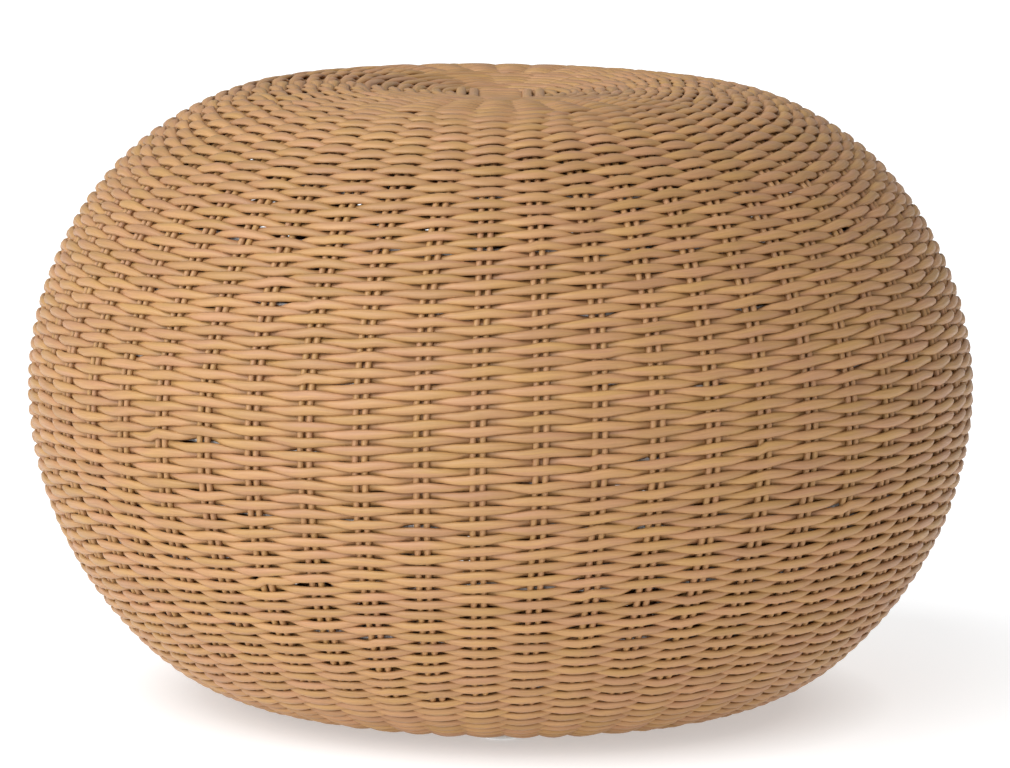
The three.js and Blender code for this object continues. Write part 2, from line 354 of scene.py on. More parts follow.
class OttomanWeave(bpy.types.PropertyGroup):
    strand_height_share: bpy.props.FloatProperty(
        name="Strand height share",
        description="Height of the strands in front of the rods, as a share of two rows' pitch",
        default=0.70,
        subtype="FACTOR",
    )
    crown_height_share: bpy.props.FloatProperty(
        name="Crown height share",
        description="The same share on the crown, where the rows lie closer",
        default=0.87,
        subtype="FACTOR",
    )
    strand_depth: bpy.props.FloatProperty(
        name="Strand depth",
        description="Thickness of the strands from the outside inwards, where they cross the rods",
        default=3.5 * MM,
        unit="LENGTH",
    )
    rod_diameter: bpy.props.FloatProperty(
        name="Rod diameter",
        description="Thickness of the upright rods that the strands pass over and under",
        default=4.3 * MM,
        unit="LENGTH",
    )
    rod_spacing: bpy.props.FloatProperty(
        name="Rod spacing",
        description="Distance between the two rods of a pair",
        default=6.1 * MM,
        unit="LENGTH",
    )
    hub_pitch: bpy.props.FloatProperty(
        name="Hub pitch",
        description="Distance from one row to the next in the middle of the top",
        default=4.5 * MM,
        unit="LENGTH",
    )
    crown_pitch: bpy.props.FloatProperty(
        name="Crown pitch",
        description="Distance from one row to the next on the shoulder",
        default=5.1 * MM,
        unit="LENGTH",
    )
    side_pitch: bpy.props.FloatProperty(
        name="Side pitch",
        description="Distance from one row to the next round the widest part",
        default=4.65 * MM,
        unit="LENGTH",
    )
    base_pitch: bpy.props.FloatProperty(
        name="Base pitch",
        description="Distance from one row to the next on the lower part",
        default=4.5 * MM,
        unit="LENGTH",
    )
    fullness: bpy.props.FloatProperty(
        name="Fullness",
        description="How much longer a strand stays in front of a stake than behind it",
        default=0.45,
        subtype="FACTOR",
    )
    lean: bpy.props.FloatProperty(
        name="Lean",
        description="How far the rows rise on one side and fall on the other",
        default=14.0 * MM,
        unit="LENGTH",
    )
    wobble: bpy.props.FloatProperty(
        name="Hand wobble",
        description="How far rows rise and fall from a true level",
        default=3.2 * MM,
        unit="LENGTH",
    )
    seed: bpy.props.IntProperty(
        name="Seed",
        description="Start of the random differences between rows",
        default=11,
    )
    tan: bpy.props.FloatVectorProperty(
        name="Tan",
        description="Main colour of the strands",
        default=(0.42, 0.228, 0.099),
        subtype="COLOR",
    )
    rose: bpy.props.FloatVectorProperty(
        name="Rose tan",
        description="Colour of the pinker stretches",
        default=(0.43, 0.221, 0.113),
        subtype="COLOR",
    )
    straw: bpy.props.FloatVectorProperty(
        name="Straw",
        description="Colour of the yellower stretches",
        default=(0.44, 0.25, 0.083),
        subtype="COLOR",
    )


class OttomanFrame(bpy.types.PropertyGroup):
    colour: bpy.props.FloatVectorProperty(
        name="Frame colour",
        description="Colour of the coated aluminium inside",
        default=(0.93, 0.925, 0.92),
        subtype="COLOR",
    )


class OttomanFeet(bpy.types.PropertyGroup):
    colour: bpy.props.FloatVectorProperty(
        name="Glide colour",
        description="Colour of the milky plastic feet",
        default=(0.84, 0.84, 0.82),
        subtype="COLOR",
    )


class OttomanStage(bpy.types.PropertyGroup):
    floor_colour: bpy.props.FloatVectorProperty(
        name="Floor colour",
        description="Colour of the plain floor",
        default=(0.60, 0.60, 0.60),
        subtype="COLOR",
    )
    floor_glow: bpy.props.FloatProperty(
        name="Floor glow",
        description="Light that the floor gives off by itself, which keeps its shadows pale",
        default=0.64,
    )
    # Floor glow close under the body, lower than elsewhere: a painted contact shadow.
    painted_shadow_glow: bpy.props.FloatProperty(
        name="Near glow",
        description="The same light close under the body, where the shadow is deepest",
        default=0.43,
    )
    sky_strength: bpy.props.FloatProperty(
        name="Sky strength",
        description="Brightness of the even white surroundings",
        default=0.445,
    )
    key_strength: bpy.props.FloatProperty(
        name="Key strength",
        description="Power of the broad light from the left front",
        default=3.8,
    )
    key_spread: bpy.props.FloatProperty(
        name="Key spread",
        description="Apparent width of the key light, which softens its shadows",
        default=math.radians(80),
        subtype="ANGLE",
    )
    camera_distance: bpy.props.FloatProperty(
        name="Camera distance",
        description="From the camera to the middle of the body",
        default=4.214,
        unit="LENGTH",
    )
    camera_height_angle: bpy.props.FloatProperty(
        name="Camera height angle",
        description="How far the camera looks down",
        default=math.radians(8.5),
        subtype="ANGLE",
    )
    camera_roll: bpy.props.FloatProperty(
        name="Camera roll",
        description="How far the camera leans",
        default=0.0134,
        subtype="ANGLE",
    )


# The Mix node's sockets, by number because its other kinds of sockets have the same names
MIX_SHARE = 0
MIX_COLOURS = (6, 7)
MIX_RESULT = 2


class Nodes:
    """A short way to lay nodes in a material."""

    def __init__(self, name):
        self.material = bpy.data.materials.new(name)
        self.material.use_nodes = True
        self.tree = self.material.node_tree
        self.tree.nodes.clear()
        self.output = self.add("ShaderNodeOutputMaterial")
        self.shader = self.add("ShaderNodeBsdfPrincipled")
        self.link(self.shader, "BSDF", self.output, "Surface")

    def add(self, kind, **values):
        node = self.tree.nodes.new(kind)
        for key, value in values.items():
            setattr(node, key, value)
        return node

    def link(self, source, out, target, into):
        self.tree.links.new(source.outputs[out], target.inputs[into])

    def noise(self, vector, out, scale, detail=2.0, roughness=0.5):
        node = self.add("ShaderNodeTexNoise")
        node.inputs["Scale"].default_value = scale
        node.inputs["Detail"].default_value = detail
        node.inputs["Roughness"].default_value = roughness
        self.link(vector, out, node, "Vector")
        return node

    def mapping(self, vector, out, scale):
        node = self.add("ShaderNodeMapping")
        node.inputs["Scale"].default_value = scale
        self.link(vector, out, node, "Vector")
        return node

    def spread(self, source, out, low, high, to_low=0.0, to_high=1.0):
        node = self.add("ShaderNodeMapRange")
        node.inputs["From Min"].default_value = low
        node.inputs["From Max"].default_value = high
        node.inputs["To Min"].default_value = to_low
        node.inputs["To Max"].default_value = to_high
        self.link(source, out, node, "Value")
        return node

    def mix(self, first, second, share, kind="MIX"):
        """Colours are tuples or the output of an earlier mix, and the share a number or a node."""
        node = self.add("ShaderNodeMix", data_type="RGBA", blend_type=kind)
        for value, socket in zip((first, second), MIX_COLOURS):
            if isinstance(value, tuple):
                node.inputs[socket].default_value = (*value, 1.0)
            else:
                self.tree.links.new(value, node.inputs[socket])
        if isinstance(share, float):
            node.inputs[MIX_SHARE].default_value = share
        else:
            self.tree.links.new(share, node.inputs[MIX_SHARE])
        return node.outputs[MIX_RESULT]

    def paint(self, colour):
        self.tree.links.new(colour, self.shader.inputs["Base Color"])

    def bump(self, source, out, strength, distance):
        node = self.add("ShaderNodeBump")
        node.inputs["Strength"].default_value = strength
        node.inputs["Distance"].default_value = distance
        self.link(source, out, node, "Height")
        self.link(node, "Normal", self.shader, "Normal")


def wicker_material():
    """Resin strand: fine lengthwise grain, and stretches of pinker and yellower tan."""
    weave = bpy.context.scene.ottoman_weave
    nodes = Nodes("resin_strand")
    uv = nodes.add("ShaderNodeUVMap", uv_map="UVMap")
    tone = nodes.add("ShaderNodeAttribute", attribute_name="strand_tone")

    squash = nodes.mapping(uv, "UV", scale=(17.0, 0.35, 1.0))
    stretch = nodes.noise(squash, "Vector", scale=1.0)
    hue = nodes.spread(stretch, "Fac", 0.36, 0.64)
    hues = nodes.mix(tuple(weave.rose), tuple(weave.straw), hue.outputs["Result"])
    colour = nodes.mix(tuple(weave.tan), hues, 0.7)

    squash = nodes.mapping(uv, "UV", scale=(45.0, 14.0, 1.0))
    grain = nodes.noise(squash, "Vector", scale=1.0, detail=4.0, roughness=0.6)
    streak = nodes.spread(grain, "Fac", *NOISE_SPAN)
    streaks = nodes.mix((0.86, 0.83, 0.80), (1.08, 1.07, 1.05), streak.outputs["Result"])
    grained = nodes.mix(colour, streaks, 1.0, "MULTIPLY")

    tones = nodes.mix((0.90, 0.89, 0.87), (1.08, 1.08, 1.08), tone.outputs["Fac"])
    nodes.paint(nodes.mix(grained, tones, 1.0, "MULTIPLY"))

    rough = nodes.spread(grain, "Fac", *NOISE_SPAN, to_low=0.54, to_high=0.44)
    nodes.link(rough, "Result", nodes.shader, "Roughness")
    nodes.bump(grain, "Fac", strength=0.3, distance=0.4 * MM)
    return nodes.material


def coated_metal_material():
    """Powder-coated bar: a faint orange-peel skin over a pale metal."""
    colour = tuple(bpy.context.scene.ottoman_frame.colour)
    nodes = Nodes("coated_aluminium")
    place = nodes.add("ShaderNodeTexCoord")
    cloud = nodes.noise(place, "Object", scale=14.0, detail=3.0)
    shade = nodes.spread(cloud, "Fac", *NOISE_SPAN)
    nodes.paint(nodes.mix(tuple(0.88 * part for part in colour), colour, shade.outputs["Result"]))
    peel = nodes.noise(place, "Object", scale=900.0)
    rough = nodes.spread(peel, "Fac", *NOISE_SPAN, to_low=0.38, to_high=0.5)
    nodes.link(rough, "Result", nodes.shader, "Roughness")
    nodes.bump(peel, "Fac", strength=0.15, distance=0.2 * MM)
    return nodes.material


def milky_plastic_material():
    """Translucent milky plastic with faint flow marks."""
    colour = tuple(bpy.context.scene.ottoman_feet.colour)
    nodes = Nodes("milky_plastic")
    place = nodes.add("ShaderNodeTexCoord")
    flow = nodes.noise(place, "Object", scale=120.0, detail=3.0)
    shade = nodes.spread(flow, "Fac", *NOISE_SPAN)
    nodes.paint(nodes.mix(tuple(0.9 * part for part in colour), colour, shade.outputs["Result"]))
    nodes.shader.inputs["Roughness"].default_value = 0.3
    nodes.shader.inputs["Subsurface Weight"].default_value = 0.4
    nodes.shader.inputs["Subsurface Radius"].default_value = (4 * MM, 4 * MM, 4 * MM)
    nodes.bump(flow, "Fac", strength=0.08, distance=0.3 * MM)
    return nodes.material


def plated_steel_material():
    """Bright plated screw steel with fine turning marks."""
    nodes = Nodes("plated_steel")
    place = nodes.add("ShaderNodeTexCoord")
    squash = nodes.mapping(place, "Object", scale=(200.0, 200.0, 2600.0))
    marks = nodes.noise(squash, "Vector", scale=1.0)
    shade = nodes.spread(marks, "Fac", *NOISE_SPAN)
    nodes.paint(nodes.mix((0.50, 0.50, 0.51), (0.66, 0.66, 0.67), shade.outputs["Result"]))
    nodes.shader.inputs["Metallic"].default_value = 1.0
    rough = nodes.spread(marks, "Fac", *NOISE_SPAN, to_low=0.28, to_high=0.42)
    nodes.link(rough, "Result", nodes.shader, "Roughness")
    nodes.bump(marks, "Fac", strength=0.1, distance=0.1 * MM)
    return nodes.material


def floor_material():
    """Plain pale floor with the faintest cloud in it. It glows by itself to lift its shadows, and glows
    least under the body as a painted contact shadow.
    """
    stage = bpy.context.scene.ottoman_stage
    colour = tuple(stage.floor_colour)
    nodes = Nodes("pale_floor")
    place = nodes.add("ShaderNodeTexCoord")
    cloud = nodes.noise(place, "Object", scale=2.0)
    shade = nodes.spread(cloud, "Fac", *NOISE_SPAN)
    nodes.paint(nodes.mix(tuple(0.99 * part for part in colour), colour, shade.outputs["Result"]))
    nodes.shader.inputs["Roughness"].default_value = 0.8
    nodes.shader.inputs["Emission Color"].default_value = (1.0, 1.0, 1.0, 1.0)
    # The glow is lower close to the floor's middle, under the body: a painted contact shadow.
    apart = nodes.add("ShaderNodeVectorMath", operation="LENGTH")
    nodes.link(place, "Object", apart, "Vector")
    glow = nodes.spread(apart, "Value", *PAINTED_SHADOW_FADE, stage.painted_shadow_glow, stage.floor_glow)
    nodes.link(glow, "Result", nodes.shader, "Emission Strength")
    return nodes.material


def material(name, maker):
    return bpy.data.materials.get(name) or maker()


class Strand:
    """One length of strand: its centre line, what faces outwards, half its depth and height, its
    tone, whether it closes on itself, and where it starts on the grain.
    """

    def __init__(self, points, outward, section, tone, closed, start):
        self.points = points
        self.outward = outward
        self.section = section
        self.tone = tone
        self.closed = closed
        self.start = start


class StrandMesh:
    """Gathers strands into one mesh, with a UV map that runs along each and a tone for each.

    The UV map gives metres along the strand, and shares of the way round it.
    """

    def __init__(self, sides):
        self.sides = sides
        self.turn = np.arange(sides) * TURN / sides
        self.count = 0
        self.corners = []
        self.tones = []
        self.faces = []
        self.sizes = []
        self.uvs = []

    def add(self, strand):
        """Faces, tone and map of one strand."""
        points = strand.points
        count, sides = len(points), self.sides
        if strand.closed:
            tangent = np.roll(points, -1, axis=0) - np.roll(points, 1, axis=0)
            gaps = np.linalg.norm(np.roll(points, -1, axis=0) - points, axis=1)
        else:
            tangent = np.gradient(points, axis=0)
            gaps = np.linalg.norm(np.diff(points, axis=0), axis=1)
        along = strand.start + np.concatenate([[0], np.cumsum(gaps)]) * MM
        self.corners.append(self.tube(points, tangent, strand) * MM)
        self.tones.append(np.full(count * sides, strand.tone))

        spans = count if strand.closed else count - 1
        i = np.repeat(np.arange(spans), sides)
        j = np.tile(np.arange(sides), spans)
        after = (i + 1) % count
        beside = (j + 1) % sides
        columns = [i * sides + j, i * sides + beside, after * sides + beside, after * sides + j]
        self.faces.append((np.column_stack(columns) + self.count).ravel())
        self.sizes.append(np.full(spans * sides, 4))
        u0, u1 = along[i], along[i + 1]
        v0, v1 = j / sides, (j + 1) / sides
        self.uvs.append(np.column_stack([u0, v0, u0, v1, u1, v1, u1, v0]).reshape(-1, 2))
        if not strand.closed:
            self.cap(count, along)
        self.count += count * sides

    def tube(self, points, tangent, strand):
        """Rings of corners round the centre line."""
        tangent = tangent / np.linalg.norm(tangent, axis=1)[:, None]
        first = strand.outward - (strand.outward * tangent).sum(axis=1)[:, None] * tangent
        first /= np.linalg.norm(first, axis=1)[:, None]
        second = np.cross(tangent, first)
        sizes = (np.broadcast_to(half, len(points)) for half in strand.section)
        half_depth, half_height = (size[:, None, None] for size in sizes)
        across = half_depth * np.cos(self.turn)[None, :, None] * first[:, None, :]
        beside = half_height * np.sin(self.turn)[None, :, None] * second[:, None, :]
        return (points[:, None, :] + across + beside).reshape(-1, 3)

    def cap(self, count, along):
        """Flat ends on an open strand."""
        sides = self.sides
        head = np.arange(sides)[::-1] + self.count
        tail = np.arange(sides) + self.count + (count - 1) * sides
        self.faces.append(np.concatenate([head, tail]))
        self.sizes.append(np.array([sides, sides]))
        circle = np.column_stack([np.cos(self.turn), np.sin(self.turn)]) * MM
        self.uvs.append(circle + [along[0], 0.5])
        self.uvs.append(circle + [along[-1], 0.5])

    def piece(self, name):
        """The object that all the gathered strands make."""
        corners = np.concatenate(self.corners)
        faces = np.concatenate(self.faces)
        sizes = np.concatenate(self.sizes)
        starts = np.concatenate([[0], np.cumsum(sizes)[:-1]])
        mesh = bpy.data.meshes.new(name)
        mesh.vertices.add(len(corners))
        mesh.vertices.foreach_set("co", corners.astype(np.float32).ravel())
        mesh.loops.add(len(faces))
        mesh.loops.foreach_set("vertex_index", faces.astype(np.int32))
        mesh.polygons.add(len(sizes))
        mesh.polygons.foreach_set("loop_start", starts.astype(np.int32))
        mesh.polygons.foreach_set("use_smooth", np.ones(len(sizes), bool))
        mesh.update(calc_edges=True)
        layer = mesh.uv_layers.new(name="UVMap")
        layer.uv.foreach_set("vector", np.concatenate(self.uvs).astype(np.float32).ravel())
        attribute = mesh.attributes.new("strand_tone", "FLOAT", "POINT")
        attribute.data.foreach_set("value", np.concatenate(self.tones).astype(np.float32))
        if mesh.validate():
            raise RuntimeError(f"{name} had faulty faces")
        piece = bpy.data.objects.new(name, mesh)
        bpy.context.scene.collection.objects.link(piece)
        piece.data.materials.append(material("resin_strand", wicker_material))
        return piece


def strand_piece(name, strands, sides):
    gathered = StrandMesh(sides)
    for strand in strands:
        gathered.add(strand)
    return gathered.piece(name)


# Where a strand is sampled on its way from the front of a stake to the back of the next
SAMPLE_SHARES = np.array([0.0, 0.18, 0.35, 0.5, 0.62, 0.73, 0.84, 0.93])


def sample_phases(spans, number):
    """Places along a row, counted in stakes. It's in front where the stake and number sum to even."""
    towards_back = SAMPLE_SHARES
    towards_front = np.concatenate([[0.0], 1 - SAMPLE_SHARES[:0:-1]])
    phases = [
        span + (towards_back if (span + number) % 2 == 0 else towards_front) for span in range(spans)
    ]
    return np.concatenate(phases)


class Weaving:
    """Where each row and rod runs, with the differences that a hand leaves."""

    def __init__(self):
        weave = bpy.context.scene.ottoman_weave
        self.random = np.random.RandomState(weave.seed)
        self.half_strand = weave.strand_depth / MM / 2
        self.height_share = weave.strand_height_share
        self.crown_share = weave.crown_height_share
        self.half_rod = weave.rod_diameter / MM / 2
        self.half_pair = weave.rod_spacing / MM / 2
        self.full_swing = self.half_strand + self.half_rod - ROD_PRESS
        self.fullness = weave.fullness
        self.lean = weave.lean / MM
        self.hub_pitch = weave.hub_pitch / MM
        pitches = (weave.hub_pitch, weave.crown_pitch, weave.side_pitch, weave.base_pitch)
        self.pitches = np.repeat(pitches, 2) / MM
        wave_turns = self.random.randint(*WAVE_TURNS, WAVE_COUNT)
        wave_phases = self.random.uniform(0, TURN, WAVE_COUNT)
        wave_lengths = self.random.uniform(*WAVE_LENGTHS, WAVE_COUNT)
        wave_shifts = self.random.uniform(0, TURN, WAVE_COUNT)
        wave_sizes = self.random.uniform(*WAVE_SIZES, WAVE_COUNT)
        wave_sizes = wave_sizes * weave.wobble / MM / math.sqrt(WAVE_COUNT)
        self.waves = list(zip(wave_turns, wave_phases, wave_lengths, wave_shifts, wave_sizes))

    def swing(self, along, stakes):
        """How far a strand swings in and out: less on the crown and where the stakes crowd."""
        spacing = TURN * OUTLINE.radius(along) / stakes
        crown = between(CROWN_SWING, RIM_SWING, np.exp(-(((along - RIM_PLACE) / RIM_WIDTH) ** 2)))
        full = self.full_swing * between(crown, 1.0, ease(part_way(along, *CROWN_END)))
        return np.clip(SWING_SHARE * (spacing - SWING_ROOM), 0.0, full)

    def pitch(self, along):
        """Distance from one row to the next."""
        return np.interp(along, PITCH_PLACES, self.pitches)

    def section(self, phase, along):
        """Half depth and height: flat and high on the stakes, rounder where rows lie side by side."""
        slack = ease(part_way(OUTLINE.reach(along), *SLACK_RISE))
        front = between(self.crown_share, self.height_share, slack)
        behind = self.behind(phase)
        on_stake = between(front, REAR_SHARE, behind)
        height_share = between(CROSSING_SHARE, on_stake, np.cos(math.pi * phase) ** 2)
        half_depth = self.half_strand * self.height_share / height_share + behind * REAR_SWELL
        return half_depth, height_share * self.pitch(along)

    def behind(self, phase):
        """0 in front of a stake and 1 behind it."""
        return (1 - np.cos(math.pi * phase)) / 2

    def profile(self, phase, radius, stakes):
        """1 in front of a stake and -1 behind the next. Where there's room it stays in front longer."""
        spacing = TURN * radius / stakes
        fullness = self.fullness * part_way(spacing, *FULL_RISE)
        wave = np.cos(math.pi * phase)
        return wave + fullness * (1 - wave**2)

    def drift(self, along, angle):
        """The slow rise and fall of all rows together, and their lean to one side."""
        total = np.zeros(np.broadcast(along, angle).shape)
        for turns, phase, length, shift, size in self.waves:
            total = total + size * np.sin(turns * angle + phase) * np.sin(TURN * along / length + shift)
        reach = OUTLINE.reach(along)
        lean = self.lean * ease(part_way(reach, *LEAN_RISE))
        return total * part_way(reach, *WAVE_RISE) - lean * np.sin(angle)

    def round_hoops(self, along, depth, side_of):
        """Behind the rods a strand passes above or below a hoop, on the side where its stake has it."""
        need = HOOP_CLEARANCE * np.clip((depth - self.half_strand) / self.full_swing - 1, 0, 1)
        for place in HOOP_PLACES:
            side = np.where(side_of >= place, 1.0, -1.0)
            gap = side * (along - place)
            near = np.abs(side_of - place) < 2 * HOOP_CLEARANCE
            along = along + side * np.clip(need - gap, 0, None) * near
        return along

    def round_stems(self, along, angle):
        """A row parts round the stem of a foot."""
        radius = OUTLINE.radius(along)
        flat = along > OUTLINE.curve_length
        for number in range(FOOT_COUNT):
            foot = STAKE_ANGLE + math.pi / STAKES + number * TURN / FOOT_COUNT
            across = radius * np.sin(angle - foot)
            facing = np.cos(angle - foot) > 0
            gap = radius - FOOT_CIRCLE
            need = (STEM_RADIUS + STEM_ROOM) * np.exp(-((across / PARTING_WIDTH) ** 2))
            side = np.where(gap.mean() >= 0, 1.0, -1.0)
            fade = np.exp(-np.abs(gap) / PARTING_FADE)
            shift = (np.sqrt(gap**2 + need**2) - np.abs(gap)) * side * fade
            along = along - np.where(flat & facing, shift, 0.0)
        return along

    def per_stake(self, values, phase):
        """A value for each stake, eased from one to the next."""
        low = np.floor(phase).astype(int)
        share = ease(phase - low)
        count = len(values)
        return values[low % count] * (1 - share) + values[(low + 1) % count] * share

    def sway(self, offsets, tilts, phase):
        """Moves up or down on the stakes and turns about them, but none where rows cross."""
        nearest = np.round(phase).astype(int)
        beyond = phase - nearest
        count = len(offsets)
        moved = offsets[nearest % count] * np.cos(math.pi * beyond) ** 2
        return moved - tilts[nearest % count] * np.sin(TURN * beyond)

    def stakes_in_row(self, along, count):
        """The angle of each stake that a row meets."""
        index = np.arange(count)
        if count < STAKES:
            return STAKE_ANGLE + TURN * index / count
        return stake_angle(index, along)

    def ring(self, along, number):
        """One closed row. The seam of its map lies behind a stake at the back."""
        count = int(stake_counts(along))
        stakes = self.stakes_in_row(along, count)
        phase = sample_phases(count, number)
        angle = np.interp(phase, np.arange(count + 1), np.append(stakes, stakes[0] + TURN))
        radius = OUTLINE.radius(along)
        calm = between(CROWN_OFFSET_SHARE, 1.0, ease(part_way(OUTLINE.reach(along), *CALM_END)))
        offsets = np.clip(self.random.normal(0, OFFSET_SPREAD, count), -OFFSET_LIMIT, OFFSET_LIMIT)
        offsets = calm * offsets
        in_front = (np.arange(count) + number) % 2 == 0
        offsets = np.where(in_front, offsets, REAR_OFFSET_SHARE * offsets)
        tilts = self.random.normal(TILT_MEAN, TILT_SPREAD, count)
        places = along + self.drift(along, angle) + self.sway(offsets, tilts, phase)
        swings = self.swing(along, count) * (1 + self.random.uniform(*SLACKNESS, count))
        depth = self.half_strand + self.swing(along, count)
        depth = depth - self.per_stake(swings, phase) * self.profile(phase + number, radius, count)
        depth = depth + self.behind(phase + number) * REAR_SWELL
        back = (2 * np.floor((phase + number) / 2) + 1 - number).astype(int) % count
        side_of = along + self.drift(along, stakes[back]) + offsets[back]
        places = self.round_hoops(places, depth, side_of)
        places = self.round_stems(places, angle)
        points, outward = OUTLINE.solid(places, depth, angle)
        section = self.section(phase + number, np.full(len(phase), along))
        rear = count // 2 + (count // 2 + number + 1) % 2
        start = int(np.searchsorted(phase, rear))
        turned = (np.roll(part, -start, axis=0) for part in (points, outward, *section))
        points, outward, *section = turned
        return Strand(points, outward, section, self.random.rand(), True, number * ROW_GRAIN_STEP)

    def spiral(self, first, last, from_end):
        """The innermost rows: one strand over and under an odd count of stakes.

        Its last turn keeps one distance from the middle, so that no gap is left outside it.
        """
        turns = (last - first) / self.hub_pitch + 1
        phase = sample_phases(round(turns * HUB_STAKES), 0)
        travelled = np.minimum(first + self.hub_pitch * phase / HUB_STAKES, last)
        along = OUTLINE.length - travelled if from_end else travelled
        angle = STAKE_ANGLE + TURN * phase / HUB_STAKES
        radius = OUTLINE.radius(along)
        swing = self.swing(along, HUB_STAKES)
        depth = self.half_strand + swing * (1 - self.profile(phase, radius, HUB_STAKES))
        depth = depth + self.behind(phase) * REAR_SWELL
        points, outward = OUTLINE.solid(along, depth, angle)
        return travelled, points, outward, self.section(phase, along)

    def square_start(self):
        """The bars and passes that bind the stakes where they cross in the middle of the top."""
        share = np.linspace(-1, 1, START_POINTS)
        runs = [(START_MIDDLE + place, share * START_HALF, BAR_RISE) for place in BAR_PLACES]
        runs += [(START_MIDDLE + share * PASS_HALF, place, PASS_RISE) for place in PASS_PLACES]
        strands = []
        for number, (x, y, rise) in enumerate(runs):
            x, y = np.broadcast_arrays(x, y)
            rise = between(*rise, 1 - share**START_DIP_POWER)
            rise = rise + self.random.uniform(-START_UNEVENNESS, START_UNEVENNESS)
            height = OUTLINE.place(np.hypot(x, y), 0.0)[1] + rise
            points = np.column_stack([x, y, height])
            outward = np.tile([0.0, 0.0, 1.0], (len(share), 1))
            tone = self.random.uniform(*START_TONES)
            section = (self.half_strand, START_HALF_WIDTH)
            strands.append(Strand(points, outward, section, tone, False, START_GRAIN + number))
        return strands

    def row_places(self, first, last):
        """The rows' places along the outline, a pitch apart and eased to fit from first to last."""
        places = [first]
        while places[-1] < last:
            places.append(places[-1] + float(self.pitch(places[-1])))
        stretch = (last - first) / (places[-1] - first)
        return [first + (place - first) * stretch for place in places]

    def rod_start(self, stake):
        """How far from the middle a stake's rods start."""
        rim_place = RIM_PLACES[stake]
        if rim_place % 1:
            return RIM_REACH - ROD_LEAD
        if rim_place % 2:
            return CROWN_REACH - ROD_LEAD
        if rim_place % 4:
            return HUB_REACH - HUB_ROD_LEAD
        return MIDDLE_ROD_START

    def rods(self):
        """The two rods of each stake, from where it starts on the top to where it ends below."""
        strands = []
        for stake in range(STAKES):
            first = self.rod_start(stake)
            nominal = np.linspace(first, OUTLINE.length - first, ROD_POINTS)
            angle = stake_angle(stake, nominal)
            along = nominal + self.drift(nominal, angle)
            radius = OUTLINE.radius(along)
            counts = stake_counts(nominal)
            half = PAIR_SHARE * TURN * radius / counts - PAIR_ROOM
            half = self.smoothed(np.clip(half, self.half_rod, self.half_pair))
            depth = self.half_strand + self.smoothed(self.swing(nominal, counts))
            depth = depth + ROD_SINK * (1 - ease(part_way(nominal, *SINK_END)))
            middle = self.random.normal(0, ROD_SPREAD)
            sway = self.random.uniform(0, TURN)
            for side in (-1, 1):
                wave = ROD_WAVE * np.sin(TURN * along / ROD_WAVE_LENGTH + sway)
                shift = middle + wave + side * half
                points, outward = OUTLINE.solid(along, depth, angle + shift / radius)
                tone = self.random.uniform(*ROD_TONES)
                section = (self.half_rod, self.half_rod)
                grain = stake * ROD_GRAIN_STEP + side
                strands.append(Strand(points, outward, section, tone, False, grain))
        return strands

    def smoothed(self, values):
        """The values along a rod, each averaged with its neighbours."""
        padded = np.pad(values, ROD_SMOOTHING // 2, mode="edge")
        return np.convolve(padded, np.ones(ROD_SMOOTHING) / ROD_SMOOTHING, mode="valid")


def new_weave():
    """All strands of the rows by the piece that they belong to, and those of the rods."""
    weaving = Weaving()
    rows = {name: [] for name, node, ends in ROUNDS}
    rows["base_strands"] = []
    rows["base_hub_strands"] = []
    for number, along in enumerate(weaving.row_places(FIRST_RING, OUTLINE.length - FIRST_RING)):
        strand = weaving.ring(along, number)
        for name, node, ends in ROUNDS:
            if along < ends * STEP:
                rows[name].append(strand)
                break
        else:
            rows["base_strands"].append(strand)
    last = FIRST_RING - weaving.hub_pitch
    points, outward, section = weaving.spiral(START_HALF - START_OVERLAP, last, False)[1:]
    rows["hub_strands"].append(Strand(points, outward, section, HUB_TONE, False, HUB_GRAIN))
    travelled, points, outward, section = weaving.spiral(BASE_SPIRAL_START, last, True)
    cut = int(np.searchsorted(travelled, BASE_HUB_RADIUS))
    inner = ("base_hub_strands", slice(None, cut + 1), BASE_HUB_GRAIN)
    outer = ("base_strands", slice(cut, None), BASE_GRAIN)
    for name, part, grain in (inner, outer):
        size = [half[part] for half in section]
        rows[name].append(Strand(points[part], outward[part], size, BASE_TONE, False, grain))
    rods = weaving.rods()
    rows["hub_strands"] += weaving.square_start()
    return {"rows": rows, "rods": rods}


# The weave is kept here, so that the rows and the rods come from the same one
WOVEN = {}


def woven():
    """The rows and the rods, woven when they are first asked for."""
    if not WOVEN:
        WOVEN.update(new_weave())
    return WOVEN


def settle(piece, slot, *nodes):
    """Rides a finished piece on the body, and hides the nodes that it replaces. The slot is not used.
    """
    if nodes:
        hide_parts(*nodes)
    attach(piece, "root")


def finish(node, coat):
    """Gives a better material to a node that keeps its solid's shape."""
    for slot in node.material_slots:
        slot.material = coat


def deselect():
    """Leaves nothing selected, because an operator acts on all that is."""
    if bpy.context.object and bpy.context.object.mode != "OBJECT":
        bpy.ops.object.mode_set(mode="OBJECT")
    bpy.ops.object.select_all(action="DESELECT")


class OTTOMAN_OT_rows(bpy.types.Operator):
    """Weave the rows of strands round the body, one piece for each round."""

    bl_idname = "ottoman.rows"
    bl_label = "Woven rows"

    def execute(self, context):
        nodes = {name: node for name, node, ends in ROUNDS}
        nodes["base_strands"] = "weave_base"
        nodes["base_hub_strands"] = "weave_base_hub"
        for name, strands in woven()["rows"].items():
            if not strands:
                raise RuntimeError(f"{name} has no rows")
            piece = strand_piece(name, strands, STRAND_SIDES)
            settle(piece, "woven_wicker", nodes[name])
        return {"FINISHED"}


class OTTOMAN_OT_rods(bpy.types.Operator):
    """Set the pairs of upright rods that the rows pass over and under."""

    bl_idname = "ottoman.rods"
    bl_label = "Upright rods"

    def execute(self, context):
        piece = strand_piece("upright_rods", woven()["rods"], ROD_SIDES)
        settle(piece, "woven_wicker")
        return {"FINISHED"}


